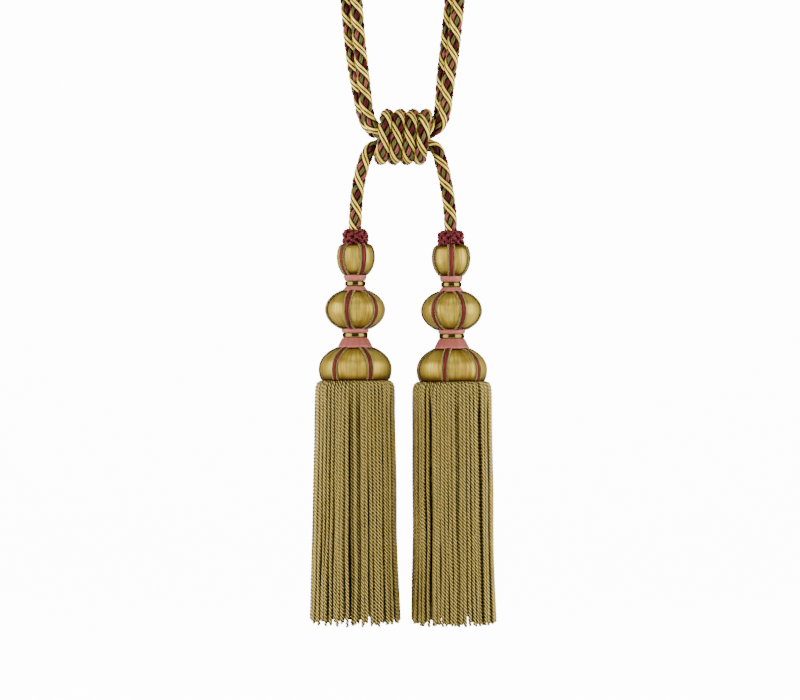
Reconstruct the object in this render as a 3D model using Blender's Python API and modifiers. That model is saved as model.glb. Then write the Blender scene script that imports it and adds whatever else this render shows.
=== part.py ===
"""Curtain tieback: one twisted cord, doubled into a loop, bound at a knot, with a tassel on each end.

The origin is the inside top of the loop, where it rests on a hook. +Z is up, -Y is the front.
Lengths in the tables and constants are millimetres; MM turns them into metres.
"""
import math
import random

import bmesh
import bpy
import numpy as np
from mathutils import Matrix, Vector

MM = 0.001
GAP = 0.3                     # clearance between neighbouring pieces

CORD_RADIUS = 4.75            # crest of a strand
CORD_VALLEY = 4.15            # groove between two strands
CORD_STRANDS = 4
CORD_PITCH = 34.7             # length of one full turn of the strands
CORD_STEP = 5.0               # spacing of the sections along the cord
LOOP_RISE = 221.0             # knot centre below the hook

KNOT_LENGTH = 36.0            # run of the inner cords through the binding
KNOT_INNER = 6.15             # axis of the knot to the axis of each inner cord
KNOT_WINDING = 16.4           # axis of the knot to the axis of the binding cord
KNOT_PITCH = 9.95
KNOT_TURNS = (-130, 1185)     # first and last angle of the binding, front = 0

LEFT_X, LEFT_TOP = -36.6, -69.2      # tassel axis and its ruff's top edge, from the knot centre
RIGHT_X, RIGHT_TOP = 35.1, -70.0
RIGHT_LEAN = 0.6                     # degrees

# Where the cord's centreline passes, from the knot centre: across, depth, height.
LEFT_LEG = [(-36.6, 0, -80.0), (-36.6, 0, -65), (-35.9, 0, -51), (-34.4, 0, -37.5),
            (-31.9, 0, -25.5), (-28.9, 0, -16.0), (-24.6, 0, -8.9)]
RIGHT_LEG = [(23.5, 0, -8.3), (26.7, 0, -14.7), (29.4, 0, -25.2), (31.9, 0, -37.5),
             (33.9, 0, -51), (34.9, 0, -65), (35.1, 0, -80.9)]
RIGHT_FRONT_ARM = [(22.2, -5.3, 4.6), (26.4, -5.2, 8.4), (29.7, -5.0, 15.6), (31.6, -4.8, 28),
                   (34.2, -4.6, 46.7), (36.9, -4.6, 65.5), (38.9, -4.6, 84.2), (40.9, -4.6, 103)]
RIGHT_BACK_ARM = [(19.4, 5.2, 5.0), (24.0, 5.3, 9.2), (26.8, 5.2, 16.8), (28.1, 4.9, 28),
                  (29.4, 4.6, 46.7), (31.5, 4.6, 65.5), (33.5, 4.6, 84.2), (35.2, 4.6, 103)]
LEFT_FRONT_ARM = [(-35.9, -4.6, 103), (-34.6, -4.6, 84.2), (-32.9, -4.6, 65.5), (-30.8, -4.6, 46.7),
                  (-28.7, -4.8, 28), (-27.1, -5.0, 16.8), (-24.0, -5.1, 9.2), (-19.4, -5.2, 5.0)]
LEFT_BACK_ARM = [(-42.9, 4.6, 103), (-41.4, 4.6, 84.2), (-39.4, 4.6, 65.5), (-36.6, 4.6, 46.7),
                 (-33.0, 4.8, 28), (-30.5, 5.1, 16.6), (-27.0, 5.3, 9.0), (-22.2, 5.3, 4.6)]
FRONT_TOP = [(42.3, -4.6, 135), (41.3, -4.8, 163), (36.5, -5.0, 190), (26.6, -5.1, 210.5),
             (13.0, -5.1, 222.5), (2.0, -5.1, 225.7), (-9.0, -5.1, 222.5), (-22.6, -5.1, 210.5),
             (-32.5, -5.0, 190), (-36.2, -4.8, 163), (-36.9, -4.6, 135)]
BACK_TOP = [(36.4, 4.6, 135), (35.6, 4.8, 163), (31.0, 5.0, 190), (21.6, 5.1, 210.5),
            (8.0, 5.1, 222.5), (-3.0, 5.1, 225.7), (-14.0, 5.1, 222.5), (-27.6, 5.1, 210.5),
            (-38.0, 5.0, 190), (-43.1, 4.8, 163), (-44.0, 4.6, 135)]

# Tassel pieces from the top down. Beads: height, widest radius, share of the height above it,
# radius at the top and bottom, steps round, ribs.
SMALL_BEAD = dict(height=23.0, radius=13.75, equator=0.44, top=8.6, bottom=7.4, steps=20, ribs=5)
MEDIUM_BEAD = dict(height=28.1, radius=21.9, equator=0.5, top=8.0, bottom=9.0, steps=24, ribs=6)
LARGE_BEAD = dict(height=24.3, radius=26.8, equator=0.65, top=11.2, bottom=24.2, steps=28, ribs=6)
# Spools: radius and depth of each ridge; the band lies in the waist.
UPPER_SPOOL = [(7.6, 0), (8.6, -0.8), (8.5, -2.4), (7.4, -4.3), (4.7, -4.4), (4.7, -8.5),
               (6.9, -8.6), (8.5, -10.6), (8.2, -11.4)]
UPPER_BAND = dict(radius=5.9, depth=-6.45, tall=1.7)
LOWER_SPOOL = [(8.8, 0), (9.9, -0.8), (9.8, -2.4), (9.0, -2.9), (6.8, -3.0), (6.8, -6.65),
               (8.5, -6.75), (9.8, -9.2), (12.2, -12.2), (12.1, -13.9)]
LOWER_BAND = dict(radius=7.95, depth=-4.83, tall=1.5)
BAND_THICK = 0.8              # half sizes, as a band's tall
RUFF_HEIGHT, RUFF_INNER, RUFF_OUTER = 11.0, 5.3, 10.0
RIB_WIDTH, RIB_THICK = 4.6, 1.8

# Skirt: radius of the outer face of the outer strands at each depth under the large bead.
LEFT_FLARE = [(29.9, -8.5), (31.0, -40.0), (32.1, -95.0), (34.3, -181.0)]
RIGHT_FLARE = [(29.5, -8.5), (30.2, -40.0), (30.8, -95.0), (31.7, -181.0)]
SKIRT_STRANDS = 56
SKIRT_INSET = 4.6             # inner layer behind the outer one
SKIRT_ROOT = dict(rim=24.0, base=18.5, rim_depth=-0.6, base_depth=-3.2)
STRAND_GAP = 0.45

COLOURS = {
    "gold": ((0.62, 0.50, 0.22), 0.45),
    "crimson": ((0.30, 0.03, 0.06), 0.5),
    "rose": ((0.68, 0.30, 0.27), 0.45),
    "satin": ((0.60, 0.48, 0.20), 0.35),
}


def clear_scene():
    for item in list(bpy.data.objects):
        bpy.data.objects.remove(item, do_unlink=True)


def new_collection(name):
    made = bpy.data.collections.new(name)
    bpy.context.scene.collection.children.link(made)
    return made


def material_for(name, colour):
    rgb, roughness = COLOURS[colour]
    made = bpy.data.materials.new(name)
    made.use_nodes = True
    shader = made.node_tree.nodes["Principled BSDF"]
    shader.inputs["Base Color"].default_value = (*rgb, 1.0)
    shader.inputs["Roughness"].default_value = roughness
    shader.inputs["Metallic"].default_value = 0.0
    return made


def add_object(name, data, collection, colour=None, parent=None):
    made = bpy.data.objects.new(name, data)
    collection.objects.link(made)
    if colour:
        data.materials.append(material_for(name, colour))
    made.parent = parent
    return made


def smooth_path(points, step):
    """Evenly spaced points on the natural cubic spline through the given ones."""
    knots = np.array(points, float)
    chord = np.concatenate([[0], np.cumsum(np.linalg.norm(np.diff(knots, axis=0), axis=1))])
    width = np.diff(chord)
    count = len(knots)
    system = np.eye(count)
    rise = np.zeros((count, 3))
    slope = np.diff(knots, axis=0) / width[:, None]
    for i in range(1, count - 1):
        system[i, i - 1:i + 2] = width[i - 1], 2 * (width[i - 1] + width[i]), width[i]
        rise[i] = 6 * (slope[i] - slope[i - 1])
    bend = np.linalg.solve(system, rise)
    dense = np.linspace(0, chord[-1], 20 * count)
    cell = np.clip(np.searchsorted(chord, dense) - 1, 0, count - 2)
    left = ((chord[cell + 1] - dense) / width[cell])[:, None]
    right = 1 - left
    curve = left * knots[cell] + right * knots[cell + 1]
    curve += ((left**3 - left) * bend[cell] + (right**3 - right) * bend[cell + 1]) \
        * (width[cell] ** 2)[:, None] / 6
    run = np.concatenate([[0], np.cumsum(np.linalg.norm(np.diff(curve, axis=0), axis=1))])
    even = np.linspace(0, run[-1], round(run[-1] / step) + 1)
    return np.stack([np.interp(even, run, curve[:, k]) for k in range(3)], axis=1)


def through_knot(start):
    """A cord's way through the knot: a third of a turn round its axis, eased at both ends."""
    points = []
    for k in range(9):
        share = k / 8
        eased = share - 0.045 * math.sin(2 * math.pi * share)
        angle = math.radians(start - 120 * eased)
        across = KNOT_LENGTH * (share - 0.5)
        points.append((across, KNOT_INNER * math.cos(angle), KNOT_INNER * math.sin(angle)))
    return points


def cord_route():
    return (LEFT_LEG + through_knot(-90) + RIGHT_FRONT_ARM + FRONT_TOP + LEFT_FRONT_ARM
            + through_knot(150)[1:-1] + RIGHT_BACK_ARM + BACK_TOP + LEFT_BACK_ARM
            + through_knot(30) + RIGHT_LEG)


def binding_route():
    points = []
    first, last = KNOT_TURNS
    for degrees in range(first, last + 1, 15):
        angle = math.radians(degrees)
        across = KNOT_PITCH * (degrees / 360 - 1.5) - 0.3
        points.append((across, -KNOT_WINDING * math.cos(angle), KNOT_WINDING * math.sin(angle)))
    return points


def cord_section(collection):
    """Cross-section of the cord: a crest for each strand and a valley between."""
    data = bpy.data.curves.new("cord_section", "CURVE")
    spline = data.splines.new("POLY")
    corners = 2 * CORD_STRANDS
    spline.points.add(corners - 1)
    for k in range(corners):
        angle = -2 * math.pi * k / corners
        radius = (CORD_VALLEY if k % 2 else CORD_RADIUS) * MM
        spline.points[k].co = (radius * math.cos(angle), radius * math.sin(angle), 0, 1)
    spline.use_cyclic_u = True
    made = add_object("cord_section", data, collection)
    made.hide_render = True
    made.display_type = "WIRE"
    return made


def add_cord(name, route, section, collection):
    """A laid cord: the lobed section carried along the route, turning once in every pitch."""
    path = smooth_path(route, CORD_STEP)
    data = bpy.data.curves.new(name, "CURVE")
    data.dimensions = "3D"
    data.twist_mode = "MINIMUM"
    data.bevel_mode = "OBJECT"
    data.bevel_object = section
    data.use_fill_caps = True
    spline = data.splines.new("POLY")
    spline.points.add(len(path) - 1)
    for k, (x, y, z) in enumerate(path):
        spline.points[k].co = (x * MM, y * MM, (z - LOOP_RISE) * MM, 1)
        spline.points[k].tilt = -2 * math.pi * k * CORD_STEP / CORD_PITCH
    return add_object(name, data, collection, "crimson")


def turned(name, profile, steps, collection, colour, parent):
    """A solid of revolution: its profile runs down the +X side and a Screw turns it."""
    data = bpy.data.meshes.new(name)
    rim = [(r * MM, 0, z * MM) for r, z in profile]
    data.from_pydata(rim, [(k, k + 1) for k in range(len(rim) - 1)], [])
    made = add_object(name, data, collection, colour, parent)
    screw = made.modifiers.new("Screw", "SCREW")
    screw.steps = screw.render_steps = steps
    screw.use_merge_vertices = True
    screw.merge_threshold = 0.00001
    screw.use_smooth_shade = True
    return made


def bead_outline(bead, rows=8):
    """Side of a bead, top to bottom: two quarter ellipses cut off at its necks."""
    upper = bead["height"] * bead["equator"]
    lower = bead["height"] - upper
    widest = bead["radius"]
    start = math.asin(bead["top"] / widest)
    end = math.pi - math.asin(bead["bottom"] / widest)
    outline = []
    for k in range(rows):
        angle = start + (end - start) * k / (rows - 1)
        reach = upper / math.cos(start) if angle < math.pi / 2 else -lower / math.cos(end)
        outline.append((widest * math.sin(angle), reach * math.cos(angle) - upper))
    return outline


def add_bead(name, bead, depth, collection, parent):
    outline = bead_outline(bead)
    profile = [(0, 0)] + outline + [(0, -bead["height"])]
    made = turned(name, profile, bead["steps"], collection, "satin", parent)
    made.location.z = depth * MM
    return made


def rib_section(collection):
    """Cross-section of a rib: flat against the bead and domed outside."""
    data = bpy.data.curves.new("rib_section", "CURVE")
    spline = data.splines.new("POLY")
    half = RIB_WIDTH / 2
    corners = [(0, half), (0, -half), (-0.7 * RIB_THICK, -0.7 * half), (-RIB_THICK, 0),
               (-0.7 * RIB_THICK, 0.7 * half)]
    spline.points.add(len(corners) - 1)
    for k, (out, across) in enumerate(corners):
        spline.points[k].co = (out * MM, across * MM, 0, 1)
    spline.use_cyclic_u = True
    made = add_object("rib_section", data, collection)
    made.hide_render = True
    made.display_type = "WIRE"
    return made


def rib_curve(name, bead, section):
    """A rib down one side of a bead: a flat curve just clear of the bead's outline."""
    outline = bead_outline(bead)
    path = []
    for before, here, after in zip(outline, outline[1:], outline[2:]):
        down = Vector(after) - Vector(before)
        outward = Vector((-down.y, down.x)).normalized()
        path.append(Vector(here) + outward * GAP)
    data = bpy.data.curves.new(name, "CURVE")
    data.dimensions = "2D"
    data.fill_mode = "NONE"
    data.bevel_mode = "OBJECT"
    data.bevel_object = section
    data.use_fill_caps = True
    spline = data.splines.new("POLY")
    spline.points.add(len(path) - 1)
    for k, spot in enumerate(path):
        spline.points[k].co = (spot.x * MM, spot.y * MM, 0, 1)
    return data


def add_ribs(prefix, bead, depth, first, section, collection, parent):
    """Ribs spaced evenly round a bead, the first one at an angle from the front."""
    data = rib_curve(prefix, bead, section)
    data.materials.append(material_for(prefix, "crimson"))
    for k in range(bead["ribs"]):
        made = add_object(f"{prefix}_{k + 1}", data, collection, None, parent)
        made.location.z = depth * MM
        turn = math.radians(first - 90 + 360 * k / bead["ribs"])
        made.rotation_euler = (math.radians(90), 0, turn)


def add_band(name, band, depth, collection, parent):
    bpy.ops.mesh.primitive_torus_add(major_radius=band["radius"] * MM, minor_radius=BAND_THICK * MM,
                                     major_segments=16, minor_segments=6)
    made = bpy.context.active_object
    made.data.transform(Matrix.Diagonal((1, 1, band["tall"] / BAND_THICK, 1)))
    made.data.shade_smooth()
    made.name = made.data.name = name
    for home in list(made.users_collection):
        home.objects.unlink(made)
    collection.objects.link(made)
    made.data.materials.append(material_for(name, "gold"))
    made.parent = parent
    made.location.z = (depth + band["depth"]) * MM
    return made


def add_ruff(name, collection, parent):
    """Interlaced collar round the cord: a tall ring whose outside swells at each crossing."""
    reach = (RUFF_OUTER - RUFF_INNER) / 2
    bpy.ops.mesh.primitive_torus_add(major_radius=(RUFF_INNER + reach) * MM,
                                     minor_radius=reach * MM, major_segments=22, minor_segments=8)
    made = bpy.context.active_object
    for vertex in made.data.vertices:
        x, y, z = vertex.co
        angle = math.atan2(y, x)
        out = math.hypot(x, y) / MM
        height = z / MM / reach
        swell = 0.7 * math.cos(6 * angle + 2.4 * height) if out > RUFF_INNER + reach else 0
        scale = (out + swell) / out
        vertex.co = (x * scale, y * scale, height * RUFF_HEIGHT / 2 * MM)
    made.name = made.data.name = name
    for home in list(made.users_collection):
        home.objects.unlink(made)
    collection.objects.link(made)
    made.data.materials.append(material_for(name, "crimson"))
    made.parent = parent
    made.location.z = -RUFF_HEIGHT / 2 * MM
    return made


def skirt_mesh(name, flare, seed):
    """A skirt of strands drawn down from the underside of a small round head."""
    chance = random.Random(seed)
    root = SKIRT_ROOT
    bm = bmesh.new()
    count = SKIRT_STRANDS

    def circle(radius, depth, offset):
        points = []
        for k in range(count):
            angle = 2 * math.pi * (k + offset) / count
            points.append(bm.verts.new((radius * math.cos(angle) * MM,
                                        radius * math.sin(angle) * MM, depth * MM)))
        return points

    rim = circle(root["rim"], root["rim_depth"], 0)
    base = circle(root["base"], root["base_depth"], 0.5)
    top = bm.verts.new((0, 0, root["rim_depth"] * MM))
    bottom = bm.verts.new((0, 0, root["base_depth"] * MM))
    outer_roots, inner_roots = [], []
    for k in range(count):
        j = (k + 1) % count
        bm.faces.new((top, rim[k], rim[j]))
        outer_roots.append(bm.faces.new((rim[k], base[k], rim[j])))
        inner_roots.append(bm.faces.new((base[k], base[j], rim[j])))
        bm.faces.new((bottom, base[j], base[k]))
    inner_roots = inner_roots[::3]
    bmesh.ops.inset_individual(bm, faces=outer_roots, thickness=0.22 * MM)
    bmesh.ops.inset_individual(bm, faces=inner_roots, thickness=0.22 * MM)

    def draw_strand(face, inset):
        centre = face.calc_center_median()
        angle = math.atan2(centre.y, centre.x)
        turn = Matrix.Rotation(angle, 4, "Z")
        length = 1 + chance.uniform(-0.008, 0.006)
        drift = chance.uniform(-0.25, 0.25)
        for radius, depth in flare:
            bm.faces.ensure_lookup_table()
            drawn = bmesh.ops.extrude_discrete_faces(bm, faces=[face])
            face = drawn["faces"][0]
            outside = radius - inset + (drift if depth < -30 else 0)
            half = math.pi * outside / count - STRAND_GAP / 2
            deep = 1.25 * half
            order = sorted(face.verts, key=lambda v: (turn.inverted() @ v.co).x)
            inner, pair = order[0], order[1:]
            sides = sorted(pair, key=lambda v: (turn.inverted() @ v.co).y)
            if inset and len(pair) == 2:
                deep = 1.1 * half
            low = depth * (length if depth < -100 else 1)
            inner.co = turn @ Vector(((outside - deep) * MM, 0, low * MM))
            sides[0].co = turn @ Vector((outside * MM, -half * MM, low * MM))
            sides[1].co = turn @ Vector((outside * MM, half * MM, low * MM))

    for face in outer_roots:
        draw_strand(face, 0)
    for face in inner_roots:
        draw_strand(face, SKIRT_INSET)
    bmesh.ops.recalc_face_normals(bm, faces=bm.faces)
    mesh = bpy.data.meshes.new(name)
    bm.to_mesh(mesh)
    bm.free()
    return mesh


def add_tassel(side, location, lean, first_ribs, flare, section, collection):
    """One tassel: ruff, three beads with a spool between each pair, ribs and skirt."""
    holder = bpy.data.objects.new(f"tassel_{side}", None)
    collection.objects.link(holder)
    holder.location = location
    holder.rotation_euler.y = math.radians(-lean)
    add_ruff(f"ruff_{side}", collection, holder)
    depth = -RUFF_HEIGHT - GAP

    add_bead(f"bead_small_{side}", SMALL_BEAD, depth, collection, holder)
    add_ribs(f"rib_small_{side}", SMALL_BEAD, depth, first_ribs[0], section,
             collection, holder)
    depth -= SMALL_BEAD["height"] + GAP

    add_spool(f"spool_upper_{side}", UPPER_SPOOL, depth, collection, holder)
    add_band(f"band_upper_{side}", UPPER_BAND, depth, collection, holder)
    depth += UPPER_SPOOL[-1][1] - GAP

    add_bead(f"bead_medium_{side}", MEDIUM_BEAD, depth, collection, holder)
    add_ribs(f"rib_medium_{side}", MEDIUM_BEAD, depth, first_ribs[1], section,
             collection, holder)
    depth -= MEDIUM_BEAD["height"] + GAP

    add_spool(f"spool_lower_{side}", LOWER_SPOOL, depth, collection, holder)
    add_band(f"band_lower_{side}", LOWER_BAND, depth, collection, holder)
    depth += LOWER_SPOOL[-1][1] - GAP

    add_bead(f"bead_large_{side}", LARGE_BEAD, depth, collection, holder)
    add_ribs(f"rib_large_{side}", LARGE_BEAD, depth, first_ribs[2], section,
             collection, holder)
    depth -= LARGE_BEAD["height"]

    mesh = skirt_mesh(f"skirt_{side}", flare, 5 if side == "left" else 8)
    skirt = add_object(f"skirt_{side}", mesh, collection, "gold", holder)
    skirt.location.z = depth * MM


def add_spool(name, ridges, depth, collection, parent):
    profile = [(0, 0)] + ridges + [(0, ridges[-1][1])]
    made = turned(name, profile, 18, collection, "rose", parent)
    made.location.z = depth * MM
    return made


def main():
    clear_scene()
    guides = new_collection("guides")
    tieback = new_collection("tassel_tieback")
    laid = cord_section(guides)
    add_cord("cord_loop", cord_route(), laid, tieback)
    add_cord("cord_binding", binding_route(), laid, tieback)
    rib = rib_section(guides)
    left = Vector((LEFT_X, 0, LEFT_TOP - LOOP_RISE)) * MM
    right = Vector((RIGHT_X, 0, RIGHT_TOP - LOOP_RISE)) * MM
    add_tassel("left", left, 0, (-51, -75, -34), LEFT_FLARE, rib, tieback)
    add_tassel("right", right, RIGHT_LEAN, (0, -38, -73), RIGHT_FLARE, rib, tieback)
    bpy.context.view_layer.update()


main()
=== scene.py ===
import math
import random

import bpy
import numpy as np
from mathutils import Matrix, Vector


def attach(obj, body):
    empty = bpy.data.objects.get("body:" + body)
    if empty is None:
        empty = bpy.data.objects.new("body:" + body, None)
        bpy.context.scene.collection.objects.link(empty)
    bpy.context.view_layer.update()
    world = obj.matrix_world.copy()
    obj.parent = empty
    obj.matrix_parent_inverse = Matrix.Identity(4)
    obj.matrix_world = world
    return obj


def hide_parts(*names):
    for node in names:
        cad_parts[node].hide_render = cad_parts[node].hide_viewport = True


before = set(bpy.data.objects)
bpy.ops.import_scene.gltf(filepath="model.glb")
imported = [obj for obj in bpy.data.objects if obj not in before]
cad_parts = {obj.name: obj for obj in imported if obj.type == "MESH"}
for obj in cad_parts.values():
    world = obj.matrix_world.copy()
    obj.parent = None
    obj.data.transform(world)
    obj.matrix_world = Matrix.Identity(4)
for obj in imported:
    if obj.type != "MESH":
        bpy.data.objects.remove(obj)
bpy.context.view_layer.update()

mm = 0.001
loopRise = 221.0  # knot centre below the hook, in mm

# Camera and studio

camera = {"distance": 2.0, "frameWidth": 0.6, "sensor": 36, "across": -0.003, "height": -0.3808}
studio = {"world": (0.86, 0.88, 0.90), "worldStrength": 0.1, "aim": (0, 0, -0.33),
          "lights": [  # name, place, size, power, colour
              ("softboxLeft", (-1.2, -0.6, -0.1), (1.6, 1.6), 71, (1, 0.99, 0.97)),
              ("softboxRight", (1.2, -0.6, -0.1), (1.6, 1.6), 71, (1, 0.99, 0.97)),
              ("fillFront", (0, -2.4, 0.5), (1.2, 0.8), 4.0, (1, 1, 1)),
              ("softboxTop", (0, -0.4, 1.3), (1.4, 0.9), 12, (1, 1, 1))]}
backdrop = {"floor": -0.74, "front": -4.0, "wall": 3.4, "top": 3.0, "width": 15.0, "bend": 0.5,
            "bendRows": 13, "paint": (0.9, 0.9, 0.9), "dullness": 0.9, "paperSeen": 13.0, "paperGlow": 0.32}


def addCamera(spec):
    data = bpy.data.cameras.new("studioCamera")
    data.sensor_width = spec["sensor"]
    data.lens = spec["sensor"] * spec["distance"] / spec["frameWidth"]
    made = bpy.data.objects.new("studioCamera", data)
    bpy.context.scene.collection.objects.link(made)
    made.location = (spec["across"], -spec["distance"], spec["height"])
    made.rotation_euler = (math.radians(90), 0, 0)
    bpy.context.scene.camera = made


def addAreaLight(name, place, aim, size, power, colour):
    data = bpy.data.lights.new(name, "AREA")
    data.shape = "RECTANGLE"
    data.size, data.size_y = size
    data.energy = power
    data.color = colour
    made = bpy.data.objects.new(name, data)
    bpy.context.scene.collection.objects.link(made)
    made.location = place
    made.rotation_euler = (Vector(aim) - Vector(place)).to_track_quat("-Z", "Y").to_euler()


def addStudio(spec):
    world = bpy.data.worlds.new("paleRoom")
    world.use_nodes = True
    sky = world.node_tree.nodes["Background"]
    sky.inputs["Color"].default_value = (*spec["world"], 1)
    sky.inputs["Strength"].default_value = spec["worldStrength"]
    bpy.context.scene.world = world
    for name, place, size, power, colour in spec["lights"]:
        addAreaLight(name, place, spec["aim"], size, power, colour)


def backdropPaper(spec):
    # bright to the camera, but with little light cast on the tieback
    paint = bpy.data.materials.new("backdropPaper")
    paint.use_nodes = True
    shader = paint.node_tree.nodes["Principled BSDF"]
    shader.inputs["Base Color"].default_value = (*spec["paint"], 1)
    shader.inputs["Roughness"].default_value = spec["dullness"]
    shader.inputs["Emission Color"].default_value = (1, 1, 1, 1)
    ray = paint.node_tree.nodes.new("ShaderNodeLightPath")
    glow = paint.node_tree.nodes.new("ShaderNodeMapRange")
    glow.inputs["To Min"].default_value = spec["paperGlow"]
    glow.inputs["To Max"].default_value = spec["paperSeen"]
    paint.node_tree.links.new(ray.outputs["Is Camera Ray"], glow.inputs["Value"])
    paint.node_tree.links.new(glow.outputs[0], shader.inputs["Emission Strength"])
    return paint


def addBackdrop(spec):
    # a floor that curves up into the wall
    bend = spec["bend"]
    turn = [(spec["wall"] - bend * (1 - math.sin(a)), spec["floor"] + bend * (1 - math.cos(a)))
            for a in np.linspace(0, math.pi / 2, spec["bendRows"])]
    outline = [(spec["front"], spec["floor"])] + turn + [(spec["wall"], spec["top"])]
    half = spec["width"] / 2
    verts = [(x, y, z) for y, z in outline for x in (-half, half)]
    faces = [(2 * i, 2 * i + 1, 2 * i + 3, 2 * i + 2) for i in range(len(outline) - 1)]
    mesh = bpy.data.meshes.new("backdrop")
    mesh.from_pydata(verts, [], faces)
    mesh.shade_smooth()
    mesh.materials.append(backdropPaper(spec))
    sheet = bpy.data.objects.new("backdrop", mesh)
    bpy.context.scene.collection.objects.link(sheet)


addCamera(camera)
addStudio(studio)
addBackdrop(backdrop)
print("studio ready")

# Shared shader effects


def newGroup(name, inputs, outputs):
    group = bpy.data.node_groups.new(name, "ShaderNodeTree")
    for label, kind, value in inputs:
        socket = group.interface.new_socket(label, in_out="INPUT", socket_type=kind)
        socket.default_value = value
    for label, kind in outputs:
        group.interface.new_socket(label, in_out="OUTPUT", socket_type=kind)
    return group, group.nodes.new("NodeGroupInput"), group.nodes.new("NodeGroupOutput")


def mathNode(tree, operation, first, second):
    node = tree.nodes.new("ShaderNodeMath")
    node.operation = operation
    for socket, value in zip(node.inputs, (first, second)):
        if isinstance(value, (int, float)):
            socket.default_value = value
        else:
            tree.links.new(value, socket)
    return node.outputs[0]


def mixColour(tree, factor, first, second):
    node = tree.nodes.new("ShaderNodeMix")
    node.data_type = "RGBA"
    for socket, value in zip((node.inputs[0], node.inputs[6], node.inputs[7]), (factor, first, second)):
        if isinstance(value, (int, float, tuple)):
            socket.default_value = value
        else:
            tree.links.new(value, socket)
    return node.outputs[2]


def mapRange(tree, value, low, high, toLow=0.0, toHigh=1.0):
    node = tree.nodes.new("ShaderNodeMapRange")
    tree.links.new(value, node.inputs["Value"])
    for label, number in (("From Min", low), ("From Max", high), ("To Min", toLow), ("To Max", toHigh)):
        node.inputs[label].default_value = number
    return node.outputs[0]


def noiseNode(tree, place, scale, detail):
    node = tree.nodes.new("ShaderNodeTexNoise")
    node.inputs["Scale"].default_value = scale
    node.inputs["Detail"].default_value = detail
    tree.links.new(place, node.inputs["Vector"])
    return node.outputs["Fac"]


threadLook = {"patchScale": 0.2, "streakSpan": (0.36, 0.64), "furrowShadeSpan": 0.75, "unevenShine": 0.15,
              "bump": 0.0001}


def buildSilkThreads(look):
    # fine fibres that run along a yarn or a wound form, with painted shade in the ply furrows and in hollows;
    # the UV map holds turns and millimetres
    group, given, result = newGroup("silkThreads", [
        ("Light", "NodeSocketColor", (0.8, 0.7, 0.4, 1)),
        ("Dark", "NodeSocketColor", (0.4, 0.3, 0.1, 1)),
        # the colour of painted shade, laid in the ply furrows and in hollows
        ("Shadow", "NodeSocketColor", (0.05, 0.03, 0.01, 1)),
        ("Across", "NodeSocketFloat", 6.0),
        ("Along", "NodeSocketFloat", 0.3),
        ("Twist", "NodeSocketFloat", 0.1),
        ("Relief", "NodeSocketFloat", 0.5),
        ("Streaks", "NodeSocketFloat", 0.5),
        ("Plies", "NodeSocketFloat", 0.0),
        ("Valleyshade", "NodeSocketFloat", 0.0),
        ("Furrow", "NodeSocketFloat", 0.35),
        ("Dullness", "NodeSocketFloat", 0.35),
    ], [("Colour", "NodeSocketColor"), ("Roughness", "NodeSocketFloat"), ("Normal", "NodeSocketVector")])
    uv = group.nodes.new("ShaderNodeUVMap")
    uv.uv_map = "threads"
    split = group.nodes.new("ShaderNodeSeparateXYZ")
    group.links.new(uv.outputs[0], split.inputs[0])
    turn = mathNode(group, "ADD", split.outputs[0],
                    mathNode(group, "MULTIPLY", split.outputs[1], given.outputs["Twist"]))
    angle = mathNode(group, "MULTIPLY", turn, 2 * math.pi)
    reach = mathNode(group, "DIVIDE", given.outputs["Across"], 2 * math.pi)
    place = group.nodes.new("ShaderNodeCombineXYZ")  # round the yarn without a seam
    for socket, wave in ((0, "COSINE"), (1, "SINE")):
        swing = mathNode(group, wave, angle, 0.0)
        group.links.new(mathNode(group, "MULTIPLY", swing, reach), place.inputs[socket])
    group.links.new(mathNode(group, "MULTIPLY", split.outputs[1], given.outputs["Along"]), place.inputs[2])
    fibres = noiseNode(group, place.outputs[0], 1.0, 2.0)
    patches = noiseNode(group, place.outputs[0], look["patchScale"], 1.0)
    blend = mathNode(group, "ADD", mathNode(group, "MULTIPLY", fibres, 0.5),
                     mathNode(group, "MULTIPLY", patches, 0.5))
    spread = mapRange(group, blend, *look["streakSpan"])
    streak = mathNode(group, "MULTIPLY", spread, given.outputs["Streaks"])
    colour = mixColour(group, streak, given.outputs["Light"], given.outputs["Dark"])
    # painted shade in the furrows between the plies, by the angle round the section
    ply = mathNode(group, "MULTIPLY", split.outputs[0], given.outputs["Plies"])
    plyTurn = mathNode(group, "MULTIPLY", ply, 2 * math.pi)
    below = mathNode(group, "SUBTRACT", given.outputs["Furrow"], mathNode(group, "COSINE", plyTurn, 0.0))
    furrow = mapRange(group, below, 0.0, look["furrowShadeSpan"])
    colour = mixColour(group, mathNode(group, "MULTIPLY", furrow, given.outputs["Valleyshade"]), colour,
                       given.outputs["Shadow"])
    paintedShade = group.nodes.new("ShaderNodeAttribute")  # painted shade, by how deep a point lies among its neighbours
    paintedShade.attribute_name = "paintedShade"
    colour = mixColour(group, paintedShade.outputs["Fac"], colour, given.outputs["Shadow"])
    uneven = mathNode(group, "MULTIPLY", spread, look["unevenShine"])
    rough = mathNode(group, "ADD", uneven, given.outputs["Dullness"])
    bump = group.nodes.new("ShaderNodeBump")
    bump.inputs["Distance"].default_value = look["bump"]
    group.links.new(given.outputs["Relief"], bump.inputs["Strength"])
    group.links.new(fibres, bump.inputs["Height"])
    group.links.new(colour, result.inputs["Colour"])
    group.links.new(rough, result.inputs["Roughness"])
    group.links.new(bump.outputs[0], result.inputs["Normal"])
    return group


silkThreads = buildSilkThreads(threadLook)

# plies sets how many furrows get painted shade; the furrow and its amount set that shade's width and strength
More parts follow.
